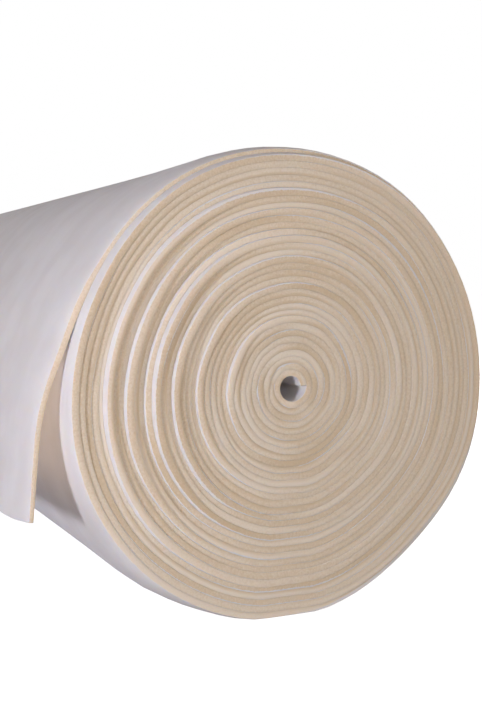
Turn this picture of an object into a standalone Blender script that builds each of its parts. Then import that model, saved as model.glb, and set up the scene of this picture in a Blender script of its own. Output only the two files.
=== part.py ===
# A roll of foam stabilizer, lying on its side with its outermost turn come loose.
#
# The sheet is soft foam with a thin knitted face on both sides, cut 58 inches wide
# and wound up on itself with no tube. Seen from the end at -Y it winds clockwise
# inwards: the cut end hangs down at the left, and the sheet runs up, over the top,
# down the right side, under the roll and round again.
#
# Two solids: the wound body and the loose end. The roll lies along Y, and the middle
# of its small resting flat is the origin. Everything is in metres, and Z is up.

import math
from collections import namedtuple

import bmesh
import bpy

# The sheet as it was cut
SHEET_WIDTH = 1.473
SHEET_THICKNESS = 0.0030
TURN_PITCH = 0.00339

# The wound body: its radius where the loose end leaves it, before any dent,
# and how high its axis lies over the surface that it rests on
OUTER_RADIUS = 0.1210
AXIS_HEIGHT = 0.1175
SEAM_ANGLE = math.radians(148)
CENTRE_RADIUS = 0.012
CENTRE_DIMPLE = 0.002

# The outermost turn is level with the loose end at the seam and works its way out
# round the roll. The ring inside it is closed, so it lies a little over one turn in.
RIM_TURNS = 1.35
RIM_SLIP = 0.0074
RIM_SLIP_LEAD = math.radians(27)

# The steps between turns show most at the left and least at the right
STEP_SIDE = math.radians(170)
STEP_LEAST = 0.35
STEP_MIDDLE = 0.0070
LEAST_RISER = 0.0006

# The loose end: its bow, its hanging stretch and its corner, which is cut short
LOOSE_TILT_AT_ROOT = math.radians(36)
LOOSE_TILT_AT_END = math.radians(4.6)
LOOSE_BOW_RADIUS = 0.169
LOOSE_HANG = 0.0385
CORNER_RISE = 0.006
CORNER_SPREAD = 0.028
PIECE_GAP = 0.00035

# How far behind its rims the body grows to its full bulges
RIM_REACH = 0.018

# How finely each shape is divided, and how deep behind each rim its outlines lie
COLUMNS = 72
OUTLINE_DEPTHS = (0.0, 0.010, 0.030, 0.080)
LOOSE_ROWS = 26
LOOSE_COLUMNS = 18
LOOSE_ROW_BIAS = 1.5

# Where the roll is dented or bulges, seen from the end at -Y: all the way through,
# and only behind the rims, which are pinched in at the lower left
Dent = namedtuple("Dent", "angle_deg spread_deg height")
DENTS = (
    Dent(162, 27, -0.0039),
    Dent(52, 20, 0.0010),
    Dent(-52, 14, -0.0035),
)
BODY_BULGES = (
    Dent(-131, 11, 0.0060),
    Dent(100, 16, 0.0012),
)

# Groups of turns on the end at -Y, from the outside in: how many turns each holds,
# and how far its first and its last turn stand out past the loose end's edge
Group = namedtuple("Group", "turns proud_outside proud_inside")
GROUPS = (
    Group(4.3, 0.0082, 0.0030),
    Group(3.0, 0.0092, 0.0058),
    Group(2.9, 0.0086, 0.0046),
    Group(1.2, 0.0076, 0.0070),
    Group(2.6, 0.0108, 0.0074),
    Group(4.0, 0.0104, 0.0062),
    Group(5.0, 0.0088, 0.0056),
    Group(6.0, 0.0078, 0.0050),
)


def clear_scene():
    """Remove whatever the file holds before the roll is made."""
    for old in list(bpy.data.objects):
        bpy.data.objects.remove(old, do_unlink=True)


def ease(value):
    """A smooth step from 0 to 1."""
    value = min(max(value, 0.0), 1.0)
    return value * value * (3.0 - 2.0 * value)


def unevenness(angle, dents=DENTS):
    """How far the dents and bulges move the surface at this angle."""
    total = 0.0
    for dent in dents:
        away = math.degrees(angle) - dent.angle_deg
        away = (away + 180.0) % 360.0 - 180.0
        total += dent.height * math.exp(-0.5 * (away / dent.spread_deg) ** 2)
    return total


def outline_radius(turned, depth=0.0):
    """The outermost turn's radius, turned clockwise from where the loose end leaves."""
    angle = SEAM_ANGLE - turned
    radius = OUTER_RADIUS - TURN_PITCH * turned / math.tau + unevenness(angle)
    radius += unevenness(angle, BODY_BULGES) * (1.0 - math.exp(-depth / RIM_REACH))
    downwards = -math.sin(angle)
    if downwards > 0.5:
        radius = min(radius, AXIS_HEIGHT / downwards)
    return radius


def rim_slip(turned):
    """How far the outermost turn's edge stands out past the loose end's edge."""
    return RIM_SLIP * ease((turned + RIM_SLIP_LEAD) / math.tau)


def step_level(proud, angle):
    """How far a turn stands out at this angle, with the steps softer at the right."""
    facing = 0.5 + 0.5 * math.cos(angle - STEP_SIDE)
    strength = STEP_LEAST + (1.0 - STEP_LEAST) * facing
    return STEP_MIDDLE + (proud - STEP_MIDDLE) * strength


def end_point(radius, angle, proud, along):
    """A point of an end face, where along is 0 at the end at -Y."""
    x = radius * math.cos(angle)
    y = along - SHEET_WIDTH / 2 - proud
    z = radius * math.sin(angle) + AXIS_HEIGHT
    return (x, y, z)


def outline(along):
    """The outer edge of the body, which steps in by one turn at the seam."""
    depth = min(along, SHEET_WIDTH - along)
    points = []
    for column in range(COLUMNS + 1):
        turned = math.tau * column / COLUMNS
        radius = outline_radius(turned, depth)
        points.append(end_point(radius, SEAM_ANGLE - turned, rim_slip(turned), along))
    return points


def ring(radius, level, along):
    """A closed ring on an end face that follows the dents of the outline."""
    points = []
    for column in range(COLUMNS + 1):
        turned = math.tau * (column + 0.5) / (COLUMNS + 1)
        angle = SEAM_ANGLE - turned
        dented = radius + unevenness(angle) * radius / OUTER_RADIUS
        points.append(end_point(dented, angle, level(turned, angle), along))
    return points


def end_face(along):
    """Rings from the body's outer edge to its centre: a tread and a riser for each group."""

    def rim_level(turned, angle):
        return rim_slip(turned)

    def outer_level(turned, angle):
        return max(step_level(group.proud_outside, angle), rim_slip(turned) + LEAST_RISER)

    def inner_level(turned, angle):
        return step_level(group.proud_inside, angle)

    radius = OUTER_RADIUS - RIM_TURNS * TURN_PITCH
    rings = [ring(radius, rim_level, along)]
    for group in GROUPS:
        rings.append(ring(radius, outer_level, along))
        radius -= group.turns * TURN_PITCH
        rings.append(ring(radius, inner_level, along))
    rings.append(ring(CENTRE_RADIUS, inner_level, along))
    return rings


def loop_edges(mesh, loop):
    """The edges that join a closed loop of vertices."""
    return [mesh.edges.get((loop[i - 1], loop[i])) for i in range(len(loop))]


def extrude_loop(mesh, loop, points):
    """Extrude a closed loop of vertices to the points and return the new loop."""
    grown = bmesh.ops.extrude_edge_only(mesh, edges=loop_edges(mesh, loop))["geom"]
    fresh = {item for item in grown if isinstance(item, bmesh.types.BMVert)}
    new_loop = []
    for corner, point in zip(loop, points):
        reached = [edge.other_vert(corner) for edge in corner.link_edges]
        new_corner = next(other for other in reached if other in fresh)
        new_corner.co = point
        new_loop.append(new_corner)
    return new_loop


def close_end(mesh, loop, dimple):
    """Close a loop with triangles that meet at a centre, a little sunken."""
    cap = bmesh.ops.contextual_create(mesh, geom=loop_edges(mesh, loop))
    centre = bmesh.ops.poke(mesh, faces=cap["faces"])["verts"][0]
    centre.co.y += dimple


def finish(mesh, name, colour, roughness):
    """Turn a bmesh into a named object with its own material, shaded smooth but for its edges."""
    bmesh.ops.recalc_face_normals(mesh, faces=mesh.faces)
    data = bpy.data.meshes.new(name)
    mesh.to_mesh(data)
    mesh.free()
    data.shade_smooth()
    data.set_sharp_from_angle(angle=math.radians(35))
    piece = bpy.data.objects.new(name, data)
    material = bpy.data.materials.new(name)
    material.use_nodes = True
    shader = material.node_tree.nodes["Principled BSDF"]
    shader.inputs["Base Color"].default_value = colour
    shader.inputs["Roughness"].default_value = roughness
    shader.inputs["Metallic"].default_value = 0.0
    data.materials.append(material)
    collection.objects.link(piece)
    return piece


def make_wound_roll():
    """The wound body: one solid lofted from the centre of one end to that of the other."""
    sections = end_face(0.0)[::-1]
    sections += [outline(depth) for depth in OUTLINE_DEPTHS]
    sections.append(outline(SHEET_WIDTH / 2))
    sections += [outline(SHEET_WIDTH - depth) for depth in reversed(OUTLINE_DEPTHS)]
    sections += end_face(SHEET_WIDTH)
    mesh = bmesh.new()
    loop = [mesh.verts.new(point) for point in sections[0]]
    for i in range(len(loop)):
        mesh.edges.new((loop[i - 1], loop[i]))
    first = loop
    for points in sections[1:]:
        loop = extrude_loop(mesh, loop, points)
    close_end(mesh, first, CENTRE_DIMPLE)
    close_end(mesh, loop, -CENTRE_DIMPLE)
    return finish(mesh, "wound_roll", (0.86, 0.80, 0.68, 1.0), 0.9)


def loose_point(travelled):
    """A point on the loose end's outer face, after this far along it, and its tilt there."""
    root_radius = outline_radius(0.0)
    x = root_radius * math.cos(SEAM_ANGLE)
    z = root_radius * math.sin(SEAM_ANGLE) + AXIS_HEIGHT
    bow = LOOSE_BOW_RADIUS * (LOOSE_TILT_AT_ROOT - LOOSE_TILT_AT_END)
    on_bow = min(travelled, bow)
    tilt = LOOSE_TILT_AT_ROOT - on_bow / LOOSE_BOW_RADIUS
    x -= LOOSE_BOW_RADIUS * (math.cos(tilt) - math.cos(LOOSE_TILT_AT_ROOT))
    z -= LOOSE_BOW_RADIUS * (math.sin(LOOSE_TILT_AT_ROOT) - math.sin(tilt))
    x -= (travelled - on_bow) * math.sin(tilt)
    z -= (travelled - on_bow) * math.cos(tilt)
    return x, z


def make_loose_end():
    """The loose end: a grid bent over the roll's shoulder, given the sheet's thickness."""
    full_length = LOOSE_BOW_RADIUS * (LOOSE_TILT_AT_ROOT - LOOSE_TILT_AT_END) + LOOSE_HANG
    mesh = bmesh.new()
    bmesh.ops.create_grid(mesh, x_segments=LOOSE_COLUMNS, y_segments=LOOSE_ROWS, size=0.5)
    for corner in mesh.verts:
        across = corner.co.x + 0.5
        depth = SHEET_WIDTH * (corner.co.y + 0.5) ** LOOSE_ROW_BIAS
        length = full_length - CORNER_RISE * math.exp(-depth / CORNER_SPREAD)
        x, z = loose_point(PIECE_GAP + (length - PIECE_GAP) * across)
        corner.co = (x, depth - SHEET_WIDTH / 2, z)
    piece = finish(mesh, "loose_end", (0.88, 0.87, 0.88, 1.0), 0.85)
    wall = piece.modifiers.new("thickness", "SOLIDIFY")
    wall.thickness = SHEET_THICKNESS
    wall.offset = -1.0
    wall.use_even_offset = True
    return piece


clear_scene()
collection = bpy.data.collections.new("roll of foam stabilizer")
bpy.context.scene.collection.children.link(collection)
make_wound_roll()
make_loose_end()
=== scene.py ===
import math
from collections import namedtuple

import bmesh
import bpy
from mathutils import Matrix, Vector, noise


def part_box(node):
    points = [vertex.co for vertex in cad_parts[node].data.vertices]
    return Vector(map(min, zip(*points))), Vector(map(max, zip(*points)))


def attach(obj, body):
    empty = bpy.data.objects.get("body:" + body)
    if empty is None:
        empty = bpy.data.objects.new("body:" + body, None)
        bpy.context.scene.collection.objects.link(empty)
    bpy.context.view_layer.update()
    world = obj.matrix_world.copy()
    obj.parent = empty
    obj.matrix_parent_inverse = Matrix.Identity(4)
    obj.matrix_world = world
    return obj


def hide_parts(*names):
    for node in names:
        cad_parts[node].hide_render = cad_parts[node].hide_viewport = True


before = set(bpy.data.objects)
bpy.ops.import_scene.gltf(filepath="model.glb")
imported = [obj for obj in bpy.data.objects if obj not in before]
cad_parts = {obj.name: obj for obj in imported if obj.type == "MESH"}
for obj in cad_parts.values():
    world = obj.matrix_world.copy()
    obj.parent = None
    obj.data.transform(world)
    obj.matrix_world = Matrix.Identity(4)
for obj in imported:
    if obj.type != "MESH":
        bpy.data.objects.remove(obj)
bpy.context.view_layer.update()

near_corner, far_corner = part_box("loose_end")
SHEET_WIDTH = far_corner.y - near_corner.y
SHEET_LENGTH = 13.716
SHEET_THICKNESS = 0.00360
CUT_ROUND = 0.00034
EDGE_LAYERS = 2

# Rows of faces lie close together near the cut edges, where the sheet bends most
ROW_DEPTHS = (0.0, 0.005, 0.012, 0.024, 0.045, 0.100, SHEET_WIDTH / 2)
SHOWN_ROWS = 14
COLUMNS = 2100
LOOSE_COLUMNS = 30
SHOWN_COLUMNS = 135

# The spiral that the sheet is wound to, and the length of it that has come loose
TURN_PITCH = 0.00337
OUTER_RADIUS = 0.1210
BOW_RADIUS = 0.169
TILT_AT_ROOT = math.radians(36)
TILT_AT_END = math.radians(4.6)
BOW_LENGTH = BOW_RADIUS * (TILT_AT_ROOT - TILT_AT_END)
LOOSE_LENGTH = BOW_LENGTH + 0.0412
COLUMN_EVENNESS = 0.08


def turned_after(length, radius):
    """The angle turned after this length of a spiral that starts at this radius."""
    inside = radius * radius - TURN_PITCH * length / math.pi
    return (radius - math.sqrt(inside)) * math.tau / TURN_PITCH


def length_of(turned, radius):
    """The length of a spiral that starts at this radius, up to the angle turned."""
    return radius * turned - TURN_PITCH * turned * turned / (2 * math.tau)


def column_place(column):
    """How far from the loose cut end a column lies: closer together in the tight turns."""
    if column <= LOOSE_COLUMNS:
        return LOOSE_LENGTH * column / LOOSE_COLUMNS
    share = (column - LOOSE_COLUMNS) / (COLUMNS - LOOSE_COLUMNS)
    wide = OUTER_RADIUS + COLUMN_EVENNESS
    whole = length_of(turned_after(SHEET_LENGTH - LOOSE_LENGTH, OUTER_RADIUS), wide)
    return LOOSE_LENGTH + length_of(turned_after(whole * share, wide), OUTER_RADIUS)


ALIGNED = 0.99


def runs_along(edge, axis):
    """Whether an edge of the flat sheet runs along this axis."""
    step = edge.verts[0].co - edge.verts[1].co
    return abs(step[axis]) > ALIGNED * step.length


def on_cut_edge(edge):
    """Whether an edge of the flat sheet lies in one of its long cut edges."""
    return all(min(corner.co.y, SHEET_WIDTH - corner.co.y) < 0.5 * CUT_ROUND for corner in edge.verts)


cloth = bmesh.new()
bmesh.ops.create_cube(cloth, size=1.0)
bmesh.ops.translate(cloth, verts=cloth.verts, vec=(0.5, 0.5, 0.5))
bmesh.ops.scale(cloth, verts=cloth.verts, vec=(SHEET_LENGTH, SHEET_WIDTH, SHEET_THICKNESS))

row_places = list(ROW_DEPTHS) + [SHEET_WIDTH - depth for depth in ROW_DEPTHS[-2::-1]]
rows = len(row_places) - 1
wide_edges = [edge for edge in cloth.edges if runs_along(edge, 1)]
bmesh.ops.subdivide_edges(cloth, edges=wide_edges, cuts=rows - 1, use_grid_fill=True)
for corner in cloth.verts:
    corner.co.y = row_places[round(corner.co.y / SHEET_WIDTH * rows)]

blade_edges = [edge for edge in cloth.edges if runs_along(edge, 0) and on_cut_edge(edge)]
bmesh.ops.bevel(cloth, geom=blade_edges, offset=CUT_ROUND, segments=3, profile=0.5,
                affect="EDGES", material=-1)
upright_edges = [edge for edge in cloth.edges if runs_along(edge, 2) and on_cut_edge(edge)]
bmesh.ops.subdivide_edges(cloth, edges=upright_edges, cuts=EDGE_LAYERS - 1, use_grid_fill=True)

long_edges = [edge for edge in cloth.edges if runs_along(edge, 0) and edge.calc_length() > 1.0]
bmesh.ops.subdivide_edges(cloth, edges=long_edges, cuts=COLUMNS - 1, use_grid_fill=True)
column_places = [column_place(column) for column in range(COLUMNS + 1)]
for corner in cloth.verts:
    corner.co.x = column_places[round(corner.co.x / SHEET_LENGTH * COLUMNS)]

# The outermost turn shows along its whole length, so its broad faces are divided again
shown_length = column_places[SHOWN_COLUMNS]
broad_edges = [edge for edge in cloth.edges if runs_along(edge, 1)
               and edge.calc_length() > SHEET_WIDTH / 4 and edge.verts[0].co.x < shown_length]
bmesh.ops.subdivide_edges(cloth, edges=broad_edges, cuts=SHOWN_ROWS - 1, use_grid_fill=True)

end_rims = []
for edge in cloth.edges:
    facing = [abs(face.normal.x) > ALIGNED for face in edge.link_faces]
    if any(facing) and not all(facing):
        end_rims.append(edge)
bmesh.ops.bevel(cloth, geom=end_rims, offset=CUT_ROUND, segments=2, profile=0.5,
                affect="EDGES", material=-1)

# The sheet, wound up
# The sheet winds clockwise inwards, seen from the near end, with no tube. The roll is a
# little out of round, its near rim is drawn in, and the turns have slipped along it by
# some millimetres, in groups, so that its ends are stepped.
AXIS_HEIGHT = 0.1175
SEAM_ANGLE = math.radians(148)
Dent = namedtuple("Dent", "angle_deg spread_deg height")
DENTS = (
    Dent(155, 24, -0.0043),
    Dent(52, 20, 0.0010),
    Dent(-52, 14, -0.0035),
)
BODY_BULGES = (
    Dent(-131, 11, 0.0042),
)
RIM_REACH = 0.018
RIM_CURL = 0.0040
CURL_STARTS = 0.009
CURL_FADES = 0.060
RIPPLE = 0.0010
RIPPLES_ROUND = 2.6
RIPPLES_ALONG = 6.1
SWELLS_ALONG = 2.3
LIFT_AT_SEAM = 0.0004
LIFT_SPAN = math.radians(9)

# The turns don't lie evenly on each other, but for the outermost one and the tight middle
TURN_WANDER = 0.0008
WANDERS_ROUND = 2.2
WANDERS_ACROSS = 130.0
WANDER_STARTS = 0.0036
WANDER_GROWS = 0.006
WANDER_SPAN = 0.035

# How far the turns stand out at the near end, past the loose end's edge, from the outside
# in, where they pass the left side
SLIP_LEAD = math.radians(27)
EdgeGroup = namedtuple("EdgeGroup", "turns first last")
EDGE_GROUPS = (
    EdgeGroup(1, 0.0, 0.0),
    EdgeGroup(5, 0.0074, 0.0050),
    EdgeGroup(3, 0.0092, 0.0058),
    EdgeGroup(3, 0.0086, 0.0048),
    EdgeGroup(1, 0.0074, 0.0074),
    EdgeGroup(3, 0.0108, 0.0075),
    EdgeGroup(4, 0.0104, 0.0062),
    EdgeGroup(5, 0.0088, 0.0056),
    EdgeGroup(12, 0.0078, 0.0050),
)
EDGE_WANDER = 0.0010
WANDER_RATE = 0.8
EDGE_WAVE = 0.0003
WAVE_RATE = 5.0

# The steps between turns show most at the left and least at the right
STEP_SIDE = math.radians(158)
STEP_LEAST = 0.12
STEP_MIDDLE = 0.0070

# The loose end waves a little, thins towards its cut edge and is cut short at its corner
CORNER_RISE = 0.006
CORNER_SPREAD = 0.028
LOOSE_WAVE = 0.0030
WAVES_ALONG = 4.0
WAVES_DOWN = 6.0
LOOSE_THINS = 0.40
LOOSE_TUCK = 0.0021
TUCK_PLACE = 0.044
TUCK_SPREAD = 0.024

edge_levels = []
for group in EDGE_GROUPS:
    for turn in range(group.turns):
        passed = turn / max(group.turns - 1, 1)
        edge_levels.append(group.first + (group.last - group.first) * passed)


def ease(value):
    """A smooth step from 0 to 1."""
    value = min(max(value, 0.0), 1.0)
    return value * value * (3.0 - 2.0 * value)


def unevenness(angle, dents):
    """How far these dents and bulges move the surface at this angle."""
    total = 0.0
    for dent in dents:
        away = (math.degrees(angle) - dent.angle_deg + 180.0) % 360.0 - 180.0
        total += dent.height * math.exp(-0.5 * (away / dent.spread_deg) ** 2)
    return total


def edge_slip(turned):
    """How far the sheet has slipped along the roll here, towards the near end."""
    turns = max((turned + SLIP_LEAD) / math.tau, 0.0)
    level = int(turns)
    slip = edge_levels[level]
    slip += (edge_levels[level + 1] - slip) * ease(turns - level)
    wander = EDGE_WANDER * noise.noise((turned * WANDER_RATE, 3.1, 0.0))
    wave = EDGE_WAVE * noise.noise((turned * WAVE_RATE, 0.0, 7.7))
    slip += (wander + wave) * ease(turns)
    facing = 0.5 + 0.5 * math.cos(SEAM_ANGLE - turned - STEP_SIDE)
    softer = (1.0 - STEP_LEAST) * (1.0 - facing * facing) * ease(turns - 0.5)
    return slip + (STEP_MIDDLE - slip) * softer


def out_of_round(angle, along):
    """How far the roll's surface is from a true spiral, at this angle and place along it."""
    depth = min(along, SHEET_WIDTH - along)
    grown = 1.0 - math.exp(-depth / RIM_REACH)
    uneven = unevenness(angle, DENTS) + unevenness(angle, BODY_BULGES) * grown
    uneven += RIM_CURL * (math.exp(-depth / CURL_FADES) - math.exp(-depth / CURL_STARTS))
    across, up = math.cos(angle), math.sin(angle)
    swell = noise.noise((across, up, along * SWELLS_ALONG))
    ripple = noise.noise((RIPPLES_ROUND * across, RIPPLES_ROUND * up, along * RIPPLES_ALONG))
    return uneven + RIPPLE * (swell + 0.4 * ripple)


def wound_point(turned, along, height):
    """A point of the wound sheet: how far it has turned, and its place in the flat sheet."""
    angle = SEAM_ANGLE - turned
    bare = OUTER_RADIUS - TURN_PITCH * turned / math.tau
    outermost = OUTER_RADIUS - TURN_PITCH * (turned % math.tau) / math.tau
    uneven = out_of_round(angle, along)
    downwards = max(-math.sin(angle), 0.5)
    pressed_in = max(outermost + uneven - AXIS_HEIGHT / downwards, 0.0)
    spread = 1.0 + (uneven - pressed_in) / outermost
    radius = bare - SHEET_THICKNESS + height
    across, up = math.cos(angle), math.sin(angle)
    wander = noise.noise((WANDERS_ROUND * across, WANDERS_ROUND * up, radius * WANDERS_ACROSS))
    freedom = ease((outermost - radius - WANDER_STARTS) / WANDER_GROWS) * ease(radius / WANDER_SPAN)
    radius += TURN_WANDER * wander * freedom
    radius *= spread
    radius += LIFT_AT_SEAM * max(1.0 - turned / LIFT_SPAN, 0.0) ** 2
    return Vector((radius * across, along + near_corner.y - edge_slip(turned), radius * up + AXIS_HEIGHT))


def loose_point(place, along, height):
    """A point of the stretch that has come loose: it bows outwards, then hangs."""
    full = LOOSE_LENGTH - CORNER_RISE * math.exp(-along / CORNER_SPREAD)
    travelled = full * (1.0 - place / LOOSE_LENGTH)
    on_bow = min(travelled, BOW_LENGTH)
    tilt = TILT_AT_ROOT - on_bow / BOW_RADIUS
    across = -BOW_RADIUS * (math.cos(tilt) - math.cos(TILT_AT_ROOT))
    down = BOW_RADIUS * (math.sin(TILT_AT_ROOT) - math.sin(tilt))
    across -= (travelled - on_bow) * math.sin(tilt)
    down += (travelled - on_bow) * math.cos(tilt)
    outward = Vector((-math.cos(tilt), 0.0, math.sin(tilt)))
    wave = noise.noise((along * WAVES_ALONG, travelled * WAVES_DOWN, 5.0))
    wave *= LOOSE_WAVE * (travelled / LOOSE_LENGTH) ** 2
    tuck = LOOSE_TUCK * math.exp(-((travelled - TUCK_PLACE) / TUCK_SPREAD) ** 2)
    root = wound_point(0.0, along, SHEET_THICKNESS)
    root.y = along + near_corner.y - edge_slip(-travelled / OUTER_RADIUS)
    thinned = (height - SHEET_THICKNESS) * (1.0 - LOOSE_THINS * travelled / full)
    return root + Vector((across, 0.0, -down)) + outward * (wave - tuck + thinned)


across_layer = cloth.verts.layers.float.new("across")
turn_layer = cloth.verts.layers.float.new("turn")
flat_layer = cloth.loops.layers.uv.new("flat")
for face in cloth.faces:
    face.smooth = True
    for loop in face.loops:
        loop[flat_layer].uv = loop.vert.co.xy
for corner in cloth.verts:
    place, along, height = corner.co
    corner[across_layer] = height / SHEET_THICKNESS
    if place < LOOSE_LENGTH:
        corner[turn_layer] = 0.0
        corner.co = loose_point(place, along, height)
    else:
        turned = turned_after(place - LOOSE_LENGTH, OUTER_RADIUS)
        corner[turn_layer] = turned / math.tau
        corner.co = wound_point(turned, along, height)

sheet_mesh = bpy.data.meshes.new("foam_sheet")
cloth.to_mesh(sheet_mesh)
cloth.free()
sheet = bpy.data.objects.new("foam_sheet", sheet_mesh)
bpy.context.scene.collection.objects.link(sheet)


class Strand:
    """One value in a finish, so that sums on it are written as plain expressions."""

    def __init__(self, finish, node, output=0):
        self.finish = finish
        self.node = node
        self.socket = node.outputs[output]

    def out(self, name):
        return Strand(self.finish, self.node, name)

    def work(self, operation, first, second=0.0):
        return self.finish.add("Math", {"operation": operation}, {0: first, 1: second})

    def __add__(self, other):
        return self.work("ADD", self, other)

    def __sub__(self, other):
        return self.work("SUBTRACT", self, other)

    def __rsub__(self, other):
        return self.work("SUBTRACT", other, self)

    def __mul__(self, other):
        return self.work("MULTIPLY", self, other)

    def __abs__(self):
        return self.work("ABSOLUTE", self)

    __radd__ = __add__
    __rmul__ = __mul__


class Finish:
    """A material and the nodes that make it."""

    def __init__(self, name):
        self.material = bpy.data.materials.new(name)
        self.material.use_nodes = True
        self.nodes = self.material.node_tree.nodes
        self.links = self.material.node_tree.links
        self.nodes.clear()

    def add(self, kind, settings, sockets, output=0):
        """Add a node: its settings first, then the value or the link of each socket."""
        node = self.nodes.new("ShaderNode" + kind)
        for name, value in settings.items():
            setattr(node, name, value)
        for name, value in sockets.items():
            if isinstance(value, Strand):
                self.links.new(value.socket, node.inputs[name])
            else:
                node.inputs[name].default_value = value
        return Strand(self, node, output)

    def sine(self, angle):
        return self.add("Math", {"operation": "SINE"}, {0: angle})

    def mix(self, share, first, second):
        """Blend two colours."""
        sockets = {0: share, 6: first, 7: second}
        return self.add("Mix", {"data_type": "RGBA"}, sockets, "Result")

    def ramp(self, value, low, high):
        """Run smoothly from 0 to 1 as the value goes from low to high."""
        sockets = {"Value": value, "From Min": low, "From Max": high}
        return self.add("MapRange", {"interpolation_type": "SMOOTHSTEP"}, sockets)

    def cloud(self, place, scale, detail=2.0):
        """Soft noise about 0.5, with this many spots to the metre."""
        sockets = {"Vector": place, "Scale": scale, "Detail": detail}
        return self.add("TexNoise", {}, sockets)

    def along_sheet(self, turn, spots, start):
        """Soft noise that changes only along the sheet, with this many spots to a turn."""
        place = self.add("CombineXYZ", {}, {"X": turn * spots + start, "Y": start})
        return self.cloud(place, 1.0)


# The finish of the sheet: knit wales 0.7 mm apart on both faces, and between them foam
# with cells of half a millimetre, which shows on the cut edges
KNIT_WHITE = (0.88, 0.87, 0.90, 1.0)
KNIT_SHADED = (0.81, 0.79, 0.81, 1.0)
FOAM_CREAM = (0.86, 0.76, 0.655, 1.0)
FOAM_TAN = (0.67, 0.54, 0.39, 1.0)
WALE = 0.0007
COURSE = 0.0005
MOTTLE_SPOTS = 34.0
SMUDGE_SPOTS = 7.0
CELL = 0.00055
CRUMB_SPOTS = 900.0
KNIT_DRAWN = 0.30
KNIT_FADE = 0.02
DRAWN_TURN = 0.55
DRAWN_SPAN = 0.13

finish = Finish("foam_sheet")
spot = finish.add("TexCoord", {}, {}, "Object")
flat = finish.add("UVMap", {"uv_map": "flat"}, {})
flat_parts = finish.add("SeparateXYZ", {}, {"Vector": flat})
across = finish.add("Attribute", {"attribute_name": "across"}, {}, "Fac")
turn = finish.add("Attribute", {"attribute_name": "turn"}, {}, "Fac")

wale_wave = finish.sine(flat_parts.out("Y") * (math.tau / WALE))
course_wave = finish.sine(flat_parts.out("X") * (math.tau / COURSE) + wale_wave * 0.9)
stitches = wale_wave * 0.5 + course_wave * 0.3
mottle = finish.cloud(spot, MOTTLE_SPOTS, 3.0)
smudge = finish.cloud(spot, SMUDGE_SPOTS)
knit_tone = finish.ramp(mottle * 0.6 + smudge * 0.4 + stitches * 0.02, 0.36, 0.66)
knit_colour = finish.mix(knit_tone, KNIT_SHADED, KNIT_WHITE)

pores = finish.add("TexVoronoi", {"feature": "F1"}, {"Vector": spot, "Scale": 1.0 / CELL}, "Distance")
crumb = finish.cloud(spot, CRUMB_SPOTS)
foam_drift = finish.along_sheet(turn, 2.3, 0.0)
# Painted shade: the foam is darkened towards tan on the inner side of each turn, where the grooves
# between turns lie in shade, by an amount that changes along the sheet
painted_shade_drift = finish.ramp(finish.along_sheet(turn, 3.1, 40.0), 0.38, 0.62)
painted_groove_shade = finish.ramp(across, 0.62, 0.12) * painted_shade_drift
foam_tone = finish.ramp(crumb * 0.22 + foam_drift * 0.78 - pores * 0.05, 0.30, 0.58)
foam_colour = finish.mix(foam_tone * (1.0 - painted_groove_shade * 0.85), FOAM_TAN, FOAM_CREAM)

# The blade draws the knit over the cut edge, by an amount that changes along the sheet
outer_drift = finish.ramp(finish.along_sheet(turn, 2.7, 80.0), 0.46, 0.70)
inner_drift = finish.ramp(finish.along_sheet(turn, 2.9, 120.0), 0.52, 0.80)
tufts = (crumb - 0.5) * 0.30
drawn_over = finish.ramp(abs(turn - DRAWN_TURN), DRAWN_SPAN, DRAWN_SPAN / 3) * 0.5
outer_knit = outer_drift * (tufts + KNIT_DRAWN) + drawn_over
inner_knit = inner_drift * (tufts + KNIT_DRAWN * 0.6)
outer_mask = finish.ramp(across + outer_knit, 1.0 - KNIT_FADE, 1.0)
inner_mask = finish.ramp(inner_knit - across, -KNIT_FADE, 0.0)
knit_mask = outer_mask.work("MAXIMUM", outer_mask, inner_mask)
colour = finish.mix(knit_mask, foam_colour, knit_colour)
knit_relief = stitches * 0.00004 + mottle * 0.0006
foam_relief = crumb * 0.00014 - pores * 0.00007
relief = knit_mask * knit_relief + (1.0 - knit_mask) * foam_relief
bump = finish.add("Bump", {}, {"Height": relief, "Strength": 0.7, "Distance": 1.0}, "Normal")
cloth_shader = finish.add("BsdfPrincipled", {}, {
    "Base Color": colour, "Roughness": 0.92 - knit_mask * 0.06, "Normal": bump,
    "Specular IOR Level": 0.25, "Sheen Weight": 0.1, "Sheen Roughness": 0.5,
    "Subsurface Weight": 0.35, "Subsurface Radius": (0.004, 0.0028, 0.0018), "Subsurface Scale": 1.0})
surface = finish.nodes.new("ShaderNodeOutputMaterial")
finish.links.new(cloth_shader.socket, surface.inputs["Surface"])
sheet_mesh.materials.append(finish.material)

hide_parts("wound_roll", "loose_end")
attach(sheet, "root")

# The floor and what is behind it
# A plain white floor under a plain white sky of its own, which only the camera sees, so
# that neither throws its colour back on the roll.
bpy.ops.mesh.primitive_plane_add(size=60.0, location=(0.0, 0.0, 0.0))
floor = bpy.context.object
floor.name = "floor"
bpy.ops.mesh.primitive_uv_sphere_add(segments=48, ring_count=24, radius=29.0)
sky = bpy.context.object
sky.name = "sky"
for stage_piece, glow, tone in ((floor, 0.84, 0.8), (sky, 1.0, 0.0)):
    plain = bpy.data.materials.new(stage_piece.name)
    plain.use_nodes = True
    shader = plain.node_tree.nodes["Principled BSDF"]
    shader.inputs["Base Color"].default_value = (tone, tone, tone, 1.0)
    shader.inputs["Roughness"].default_value = 0.9
    shader.inputs["Specular IOR Level"].default_value = 0.0
    shader.inputs["Emission Color"].default_value = (1.0, 1.0, 1.0, 1.0)
    shader.inputs["Emission Strength"].default_value = glow
    stage_piece.data.materials.append(plain)
    stage_piece.visible_diffuse = False
    stage_piece.visible_glossy = False
    stage_piece.visible_transmission = False
sky.visible_shadow = False

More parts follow.
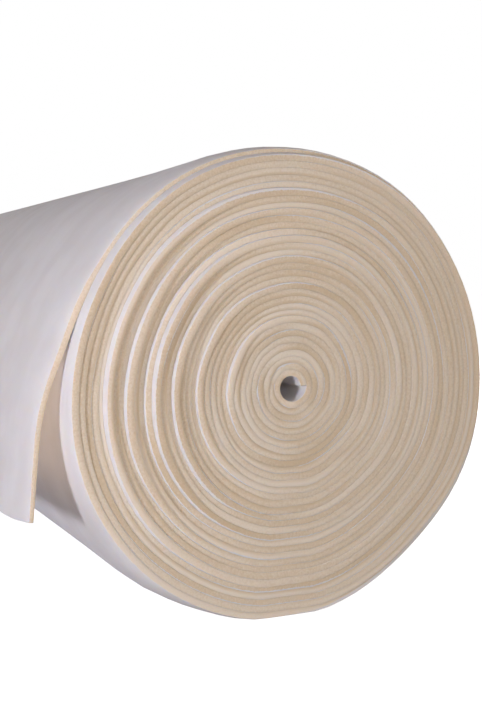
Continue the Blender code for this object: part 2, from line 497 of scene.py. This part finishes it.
# The light
# Two soft lamps light the near end, three the sides and the far end, and a bluish one
# is what the floor throws back, under a dim even light from everywhere. The last two
# lamps stand in for the light that comes through the foam of the loose end.
near_end = Vector((0.0, near_corner.y, AXIS_HEIGHT))
Lamp = namedtuple("Lamp", "name place aim wide high power tint beam", defaults=(math.pi,))
LAMPS = (
    Lamp("key", (-0.62, -0.30, 0.04), (0.0, 0.0, 0.0), 0.10, 0.10, 2.2, (0.95, 0.93, 1.0)),
    Lamp("front", (-0.05, -1.0, 0.10), (0.0, 0.0, 0.0), 0.30, 0.30, 3.35, (1.0, 0.89, 0.76)),
    Lamp("right", (1.5, 0.9, 0.4), (0.0, 0.7, 0.0), 0.80, 0.80, 20.0, (1.0, 0.97, 0.95)),
    Lamp("left", (-1.5, 1.15, 0.4), (0.0, 1.15, 0.0), 0.50, 0.50, 1.6, (1.0, 0.97, 0.95),
         math.radians(60)),
    Lamp("far_end", (-0.5, 3.0, 0.4), (0.0, 1.4, 0.0), 0.80, 0.80, 20.0, (1.0, 0.97, 0.95)),
    Lamp("bounce", (-0.07, 0.735, -0.115), (-0.065, 0.735, 0.0), 1.43, 0.13, 0.098, (0.72, 0.75, 1.0)),
    Lamp("behind_high", (-0.1090, 0.077, 0.03575), (-0.0634, 0.077, 0.0151), 0.146, 0.0291,
         0.0058, (1.0, 0.82, 0.60)),
    Lamp("behind_low", (-0.1222, 0.077, -0.0165), (-0.0730, 0.077, -0.0250), 0.146, 0.0792,
         0.0100, (1.0, 0.76, 0.52)),
)
for lamp_plan in LAMPS:
    lamp_data = bpy.data.lights.new(lamp_plan.name, "AREA")
    lamp_data.shape = "RECTANGLE"
    lamp_data.size = lamp_plan.wide
    lamp_data.size_y = lamp_plan.high
    lamp_data.energy = lamp_plan.power
    lamp_data.color = lamp_plan.tint
    lamp_data.spread = lamp_plan.beam
    lamp = bpy.data.objects.new(lamp_plan.name, lamp_data)
    lamp.location = near_end + Vector(lamp_plan.place)
    aimed = Vector(lamp_plan.aim) - Vector(lamp_plan.place)
    lamp.rotation_euler = aimed.to_track_quat("-Z", "Y").to_euler()
    lamp.visible_camera = False
    bpy.context.scene.collection.objects.link(lamp)
world = bpy.data.worlds.new("studio")
world.use_nodes = True
world.node_tree.nodes["Background"].inputs["Color"].default_value = (0.98, 0.88, 0.86, 1.0)
world.node_tree.nodes["Background"].inputs["Strength"].default_value = 0.23
bpy.context.scene.world = world
bpy.context.scene.view_settings.view_transform = "Standard"

# The camera
# About half a metre in front of the near end and to the left of the roll's axis, a
# little above it, with a lens of 56 mm.
camera_data = bpy.data.cameras.new("camera")
camera_data.sensor_width = 36.0
camera_data.lens = 56.25
camera_data.clip_end = 200.0
camera = bpy.data.objects.new("camera", camera_data)
camera.location = near_end + Vector((-0.2597, -0.4984, 0.0518))
camera.rotation_euler = (math.pi / 2 - 0.0609, 0.0, -0.4393)
bpy.context.scene.collection.objects.link(camera)
bpy.context.scene.camera = camera
